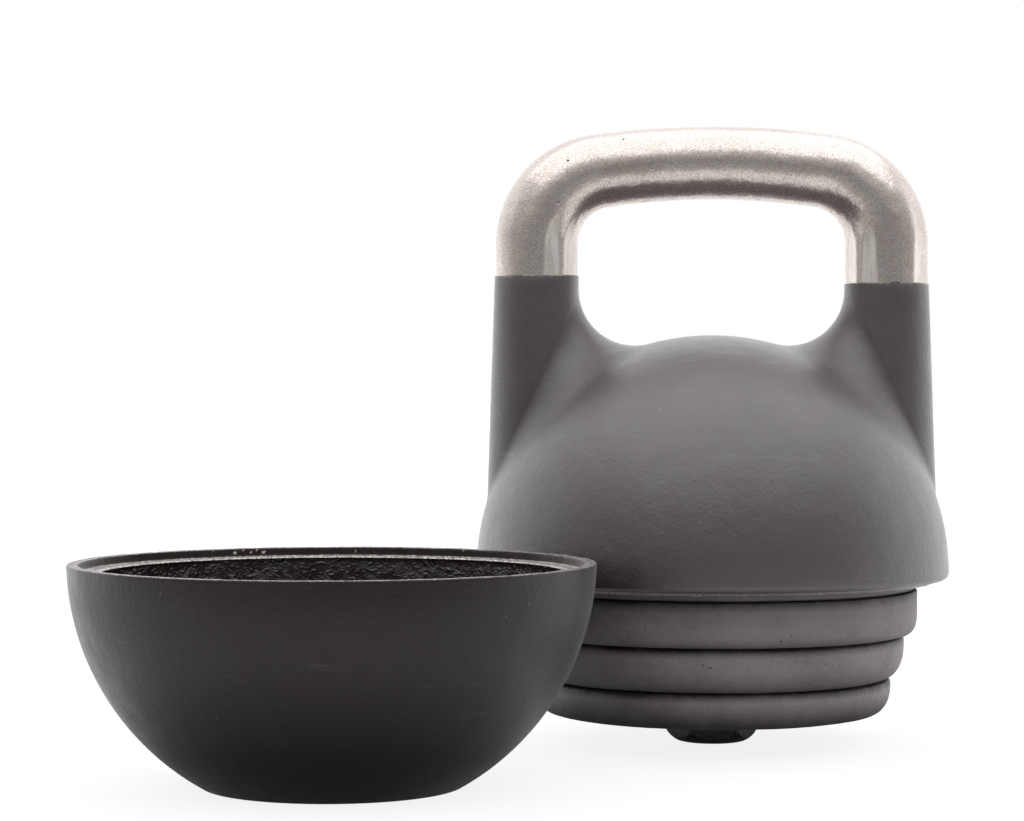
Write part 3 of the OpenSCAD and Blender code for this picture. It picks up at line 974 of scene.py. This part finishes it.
def makeLowerShell():
    low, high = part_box("lower_shell")
    outerR, height = min(high.x - low.x, high.y - low.y) / 2, high.z - low.z
    rimR = outerR * math.cos(-math.asin(shell["jointDrop"] / outerR))
    ledgeZ = height - bowl["rabbet"]
    outline = bowlOutline(outerR, height, rimR, ledgeZ)
    points, quads, wear, rough = lathe(outline, fullTurn(bowl["steps"]))
    # chips through to the iron on the wall of the rabbet
    wallRow = next(k for k, row in enumerate(outline) if row[1] == (height + ledgeZ) / 2)
    for turn, row in bowl["chips"]:
        wear[int(turn * bowl["steps"] / 360) * len(outline) + wallRow + row] = 1.0
    centre = (low + high) / 2
    points += np.array([centre.x, centre.y, low.z])
    piece = meshPiece("lowerShell", points, quads, lowerPaintShaded, "lower_shell", "lower_shell",
                      {"wear": wear, "rough": rough})
    # the raw casting inside has a finish of its own
    piece.data.materials.append(castInside)
    m = len(outline)
    first = next(k for k, row in enumerate(outline) if row[3] >= 0.8)
    last = max(k for k, row in enumerate(outline) if row[3] >= 0.3)
    for k, face in enumerate(piece.data.polygons):
        if first <= k % m <= last:
            face.material_index = 1
    roughen(piece, [(0.0011, 0.011), (0.0006, 0.004), (0.0003, 0.0018)])
    turn, wide, deep = math.radians(bowl["nick"][0]), *bowl["nick"][1:]
    dent(piece, [((centre.x + rimR * math.cos(turn), centre.y + rimR * math.sin(turn), high.z), wide, deep)])


makeLowerShell()
print("lower shell made")


screw = {
    "shankRadius": 0.005,
    "headHeight": 0.0055,
    "socketFlats": 0.006,
    "socketDepth": 0.003,
    "around": 96,
}


def makeScrew():
    low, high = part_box("base_screw")
    centre = (low + high) / 2
    head, shank = (high.x - low.x) / 2, screw["shankRadius"]
    foot, headTop = low.z, low.z + screw["headHeight"]
    socketTop = foot + screw["socketDepth"]
    half = screw["socketFlats"] / 2
    columns, wear = [], []
    for i in range(screw["around"]):
        a = 2 * math.pi * i / screw["around"]
        hexR = half / math.cos(a % (math.pi / 3) - math.pi / 6)
        rows = [
            (0.0002, socketTop + 0.0008, 0), (hexR, socketTop, 0), (hexR, foot + 0.0003, 0.3),
            (hexR + 0.0004, foot, 0.6), (head - 0.0009, foot, 0.2), (head - 0.0003, foot + 0.0003, 0.5),
            (head, foot + 0.0009, 0.4), (head, headTop - 0.0003, 0.2), (head - 0.0003, headTop, 0.2),
            (shank + 0.0004, headTop, 0), (shank, headTop + 0.0006, 0), (shank, high.z - 0.001, 0.2),
            (shank - 0.001, high.z, 0.4), (0.0002, high.z, 0),
        ]
        columns.append([polar(r, a, z) for r, z, _ in rows])
        wear += [w for _, _, w in rows]
    grid = np.array(columns)
    points = grid.reshape(-1, 3) + np.array([centre.x, centre.y, 0])
    meshPiece("baseScrew", points, gridFaces(*grid.shape[:2]), blackSteel, "base_screw",
              "base_screw", {"wear": wear}, 28)


makeScrew()
print("base screw made")


studio = {
    "floorColour": (0.14, 0.14, 0.14),
    "floorGlow": 0.86,        # what the floor adds where the camera sees it
    # the share of that which metal and paint reflect: just in front, further in front and behind
    "floorInGloss": 1.0,
    "floorFarInGloss": 0.22,
    "floorBackInGloss": 1.2,
    "floorClear": 1.6,        # beyond this distance the floor is as white as the backdrop
    "floorReach": 12,
    "topPower": 25,
    "leftPower": 0.7,
    "rightPower": 1.4,
    "roomFront": 0.27,        # the room at eye height behind the camera, at the sides and at the back
    "roomSide": 0.42,
    "roomBack": 1.25,
    "roomTop": 0.66,
    "lens": 101.07,
    "cameraPlace": (-0.0891, -1.2838, 0.1633),
    "cameraDown": 0.0124,     # how far it looks down, in radians
}


def makeFloor():
    material, tree, shader = newMaterial("paleFloor")
    shader.inputs["Base Color"].default_value = (*studio["floorColour"], 1)
    shader.inputs["Roughness"].default_value = 0.9
    shader.inputs["Specular IOR Level"].default_value = 0.1
    shader.inputs["Emission Color"].default_value = (1, 1, 1, 1)
    path = addNode(tree, "ShaderNodeLightPath").outputs
    place = objectSpace(tree)
    away = addNode(tree, "ShaderNodeVectorMath", {0: place}, operation="LENGTH").outputs["Value"]
    foot = sum(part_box("lower_shell"), Vector()) / 2
    ends = {0: place, 1: (foot.x, foot.y, 0)}
    beside = addNode(tree, "ShaderNodeVectorMath", ends, operation="DISTANCE").outputs["Value"]
    near = sums(tree, "MINIMUM", away, beside)
    depth = addNode(tree, "ShaderNodeSeparateXYZ", {0: place}).outputs["Y"]
    front = spread(tree, depth, -0.62, -0.38, studio["floorFarInGloss"], studio["floorInGloss"], "SMOOTHSTEP")
    share = blend(tree, spread(tree, depth, -0.1, 0.6, curve="SMOOTHSTEP"), front, studio["floorBackInGloss"])
    share = sums(tree, "MULTIPLY", share, spread(tree, near, 0.075, 0.165, 0.08, 1.0))
    inGloss = sums(tree, "MULTIPLY", path["Is Glossy Ray"], share)
    seen = sums(tree, "MAXIMUM", path["Is Camera Ray"], path["Is Transmission Ray"])
    seen = sums(tree, "MAXIMUM", seen, inGloss)
    glow = spread(tree, away, 0.25, studio["floorClear"], studio["floorGlow"], 1.0)
    tree.links.new(sums(tree, "MULTIPLY", seen, glow), shader.inputs["Emission Strength"])
    far = studio["floorReach"]
    mesh = bpy.data.meshes.new("paleFloor")
    mesh.from_pydata([(-far, -far, 0), (far, -far, 0), (far, far, 0), (-far, far, 0)], [], [(0, 1, 2, 3)])
    mesh.materials.append(material)
    floor = bpy.data.objects.new("paleFloor", mesh)
    bpy.context.scene.collection.objects.link(floor)


def makeWorld():
    # a white backdrop to the camera, and a room that brightens smoothly overhead and to the back
    world = bpy.data.worlds.new("studio")
    bpy.context.scene.world = world
    world.use_nodes = True
    tree = world.node_tree
    tree.nodes.clear()
    way = addNode(tree, "ShaderNodeTexCoord").outputs["Generated"]
    parts = addNode(tree, "ShaderNodeSeparateXYZ", {0: way}).outputs
    aside = sums(tree, "ABSOLUTE", parts["X"], 0.0)
    nearSide = spread(tree, aside, 0.3, 0.95, studio["roomFront"], studio["roomSide"], "SMOOTHSTEP")
    behind = spread(tree, parts["Y"], 0.0, 0.6, curve="SMOOTHSTEP")
    around = blend(tree, behind, nearSide, studio["roomBack"])
    high = spread(tree, parts["Z"], 0.0, 0.62, curve="SMOOTHSTEP")
    over = spread(tree, parts["Y"], -0.1, 0.5, curve="SMOOTHSTEP")
    above = blend(tree, over, studio["roomTop"], studio["roomBack"])
    soft = blend(tree, high, around, above)
    path = addNode(tree, "ShaderNodeLightPath").outputs
    seen = sums(tree, "MAXIMUM", path["Is Camera Ray"], path["Is Transmission Ray"])
    strength = blend(tree, seen, soft, 1.0)
    backdrop = addNode(tree, "ShaderNodeBackground", {"Color": (1, 1, 1, 1), "Strength": strength})
    output = addNode(tree, "ShaderNodeOutputWorld")
    tree.links.new(backdrop.outputs[0], output.inputs["Surface"])


def softbox(name, place, target, size, power):
    lamp = bpy.data.lights.new(name, "AREA")
    lamp.shape = "RECTANGLE"
    lamp.size, lamp.size_y = size
    lamp.energy = power
    box = bpy.data.objects.new(name, lamp)
    box.location = place
    box.visible_camera = False
    box.rotation_euler = (Vector(target) - Vector(place)).to_track_quat("-Z", "Y").to_euler()
    bpy.context.scene.collection.objects.link(box)


def makeCamera():
    data = bpy.data.cameras.new("camera")
    data.sensor_width = 36
    data.lens = studio["lens"]
    data.clip_start, data.clip_end = 0.05, 60
    camera = bpy.data.objects.new("camera", data)
    camera.location = studio["cameraPlace"]
    camera.rotation_euler = (math.pi / 2 - studio["cameraDown"], 0, 0)
    bpy.context.scene.collection.objects.link(camera)
    bpy.context.scene.camera = camera


makeFloor()
makeWorld()
middle = (-0.06, -0.05, 0.12)
softbox("topBox", (0.0, -0.3, 1.6), middle, (3.0, 2.4), studio["topPower"])
softbox("leftBox", (-1.5, 0.0, 0.7), middle, (0.8, 1.0), studio["leftPower"])
softbox("rightBox", (1.4, 0.1, 0.6), middle, (0.8, 1.0), studio["rightPower"])
makeCamera()
bpy.context.scene.view_settings.view_transform = "Standard"
print("studio made")
